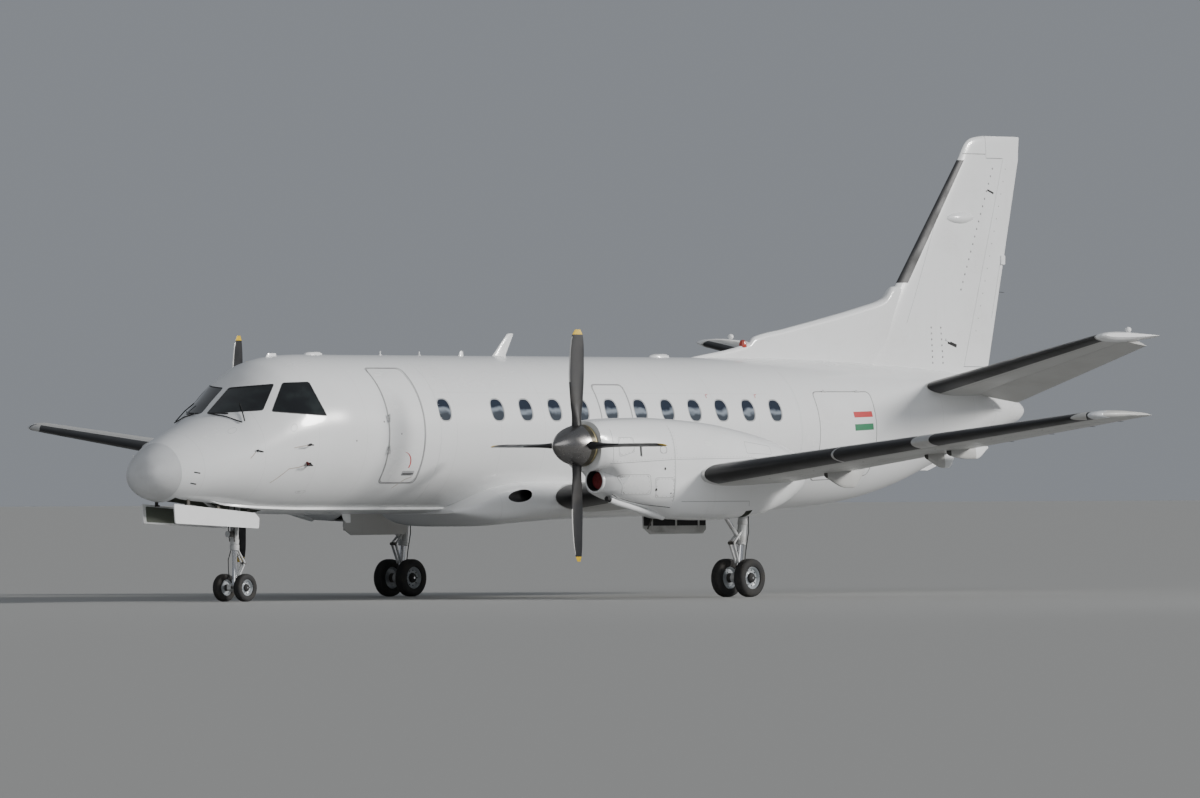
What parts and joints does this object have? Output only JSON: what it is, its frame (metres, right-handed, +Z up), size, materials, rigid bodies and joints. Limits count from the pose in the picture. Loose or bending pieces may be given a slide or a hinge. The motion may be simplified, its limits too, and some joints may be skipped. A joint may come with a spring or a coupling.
{
  "type": "twin turboprop airliner parked on its landing gear",
  "caption": "Low-wing twin turboprop airliner on its gear, with turning propellers and wheels, steered nose gear, doors, flaps and control surfaces.",
  "frame": {"origin": "on the floor, midway along the length and across the span", "axes": "+X aft, with the nose at -X; +Y to starboard, along the span; +Z up"},
  "size_m": [19.73, 21.4434, 7],
  "materials": {
    "white_paint": "gloss",
    "radome_paint": "gloss",
    "wing_paint": "satin",
    "blade_paint": "satin",
    "tyre_rubber": "matte",
    "gear_metal": "satin",
    "engine_iron": "matte",
    "boot_rubber": "matte",
    "bare_metal": "polished",
    "window_glass": "gloss"
  },
  "bodies": {
    "airframe": {"radome": "radome_paint", "nose_section": "white_paint", "fuselage": "white_paint", "rear_fuselage": "white_paint", "tail_cone": "white_paint", "left_exit_hatch": "white_paint", "right_exit_hatch": "white_paint", "wing_fairing": "white_paint", "fin": "white_paint", "nose_leg": "gear_metal", "left_nose_door": "white_paint", "right_nose_door": "white_paint", "left_wing": "wing_paint", "right_wing": "wing_paint", "left_engine_cowl": "white_paint", "right_engine_cowl": "white_paint", "left_nacelle": "white_paint", "right_nacelle": "white_paint", "left_engine": "engine_iron", "right_engine": "engine_iron", "left_tailplane": "wing_paint", "right_tailplane": "wing_paint", "left_main_leg": "gear_metal", "right_main_leg": "gear_metal", "left_outer_bay_door": "wing_paint", "right_outer_bay_door": "wing_paint", "left_inner_bay_door": "wing_paint", "right_inner_bay_door": "wing_paint"},
    "nose_fork": {"nose_steering": "gear_metal"},
    "nose_wheel_pair": {"nose_wheels": "tyre_rubber"},
    "left_wheel_pair": {"left_main_wheels": "tyre_rubber"},
    "right_wheel_pair": {"right_main_wheels": "tyre_rubber"},
    "left_prop": {"left_propeller": "blade_paint"},
    "right_prop": {"right_propeller": "blade_paint"},
    "rudder_panel": {"rudder": "white_paint"},
    "left_elevator_panel": {"left_elevator": "wing_paint"},
    "right_elevator_panel": {"right_elevator": "wing_paint"},
    "left_aileron_panel": {"left_aileron": "wing_paint"},
    "right_aileron_panel": {"right_aileron": "wing_paint"},
    "left_flaps": {"left_inner_flap": "wing_paint", "left_outer_flap": "wing_paint"},
    "right_flaps": {"right_inner_flap": "wing_paint", "right_outer_flap": "wing_paint"},
    "passenger_door_leaf": {"passenger_door": "white_paint"},
    "cargo_door_leaf": {"cargo_door": "white_paint"}
  },
  "joints": [
    {"name": "nose_steering", "type": "hinge", "parent": "airframe", "child": "nose_fork", "pos_m": [-7.82, 0, 0.5], "axis": [0, 0, 1], "range_deg": [-45, 45]},
    {"name": "nose_wheel_spin", "type": "hinge", "parent": "nose_fork", "child": "nose_wheel_pair", "pos_m": [-7.82, 0, 0.2], "axis": [0, 1, 0], "continuous": true},
    {"name": "left_wheel_spin", "type": "hinge", "parent": "airframe", "child": "left_wheel_pair", "pos_m": [-0.665, -3.355, 0.28], "axis": [0, 1, 0], "continuous": true},
    {"name": "right_wheel_spin", "type": "hinge", "parent": "airframe", "child": "right_wheel_pair", "pos_m": [-0.665, 3.355, 0.28], "axis": [0, 1, 0], "continuous": true},
    {"name": "left_prop_spin", "type": "hinge", "parent": "airframe", "child": "left_prop", "pos_m": [-4.19, -3.355, 2.215], "axis": [1, 0, 0], "continuous": true},
    {"name": "right_prop_spin", "type": "hinge", "parent": "airframe", "child": "right_prop", "pos_m": [-4.19, 3.355, 2.215], "axis": [1, 0, 0], "continuous": true},
    {"name": "rudder_swing", "type": "hinge", "parent": "airframe", "child": "rudder_panel", "pos_m": [8.55, 0, 3.55], "axis": [0.2831, 0, 0.9591], "range_deg": [-24, 24]},
    {"name": "left_elevator_swing", "type": "hinge", "parent": "airframe", "child": "left_elevator_panel", "pos_m": [8.315, 0, 3], "axis": [0.1741, 0.9632, -0.2047], "range_deg": [-39, 0]},
    {"name": "right_elevator_swing", "type": "hinge", "parent": "airframe", "child": "right_elevator_panel", "pos_m": [8.315, 0, 3], "axis": [-0.1741, 0.9632, 0.2047], "range_deg": [-39, 0]},
    {"name": "left_aileron_swing", "type": "hinge", "parent": "airframe", "child": "left_aileron_panel", "pos_m": [-0.49483, -7.37467, 2.19504], "axis": [0.0142, 0.9924, -0.1219], "range_deg": [-20, 20]},
    {"name": "right_aileron_swing", "type": "hinge", "parent": "airframe", "child": "right_aileron_panel", "pos_m": [-0.49483, 7.37467, 2.19504], "axis": [-0.0142, 0.9924, 0.1219], "range_deg": [-20, 20]},
    {"name": "left_flap_drop", "type": "hinge", "parent": "airframe", "child": "left_flaps", "pos_m": [-0.42556, -1.43018, 1.29395], "axis": [0.0125, 0.9912, -0.132], "range_deg": [0, 35]},
    {"name": "right_flap_drop", "type": "hinge", "parent": "airframe", "child": "right_flaps", "pos_m": [-0.42556, 1.43018, 1.29395], "axis": [-0.0125, 0.9912, 0.132], "range_deg": [0, 35]},
    {"name": "passenger_door_swing", "type": "hinge", "parent": "airframe", "child": "passenger_door_leaf", "pos_m": [-5.785, -1.172, 2.4], "axis": [0, 0, -1], "range_deg": [0, 140]},
    {"name": "cargo_door_lift", "type": "hinge", "parent": "airframe", "child": "cargo_door_leaf", "pos_m": [3.835, -0.93854, 3.03854], "axis": [-0.9973, -0.0729, -0.0035], "range_deg": [0, 95]}
  ],
  "couplings": [
    {"joint": "right_elevator_swing", "follows": "left_elevator_swing", "ratio": 1},
    {"joint": "right_aileron_swing", "follows": "left_aileron_swing", "ratio": -1},
    {"joint": "right_flap_drop", "follows": "left_flap_drop", "ratio": 1}
  ]
}
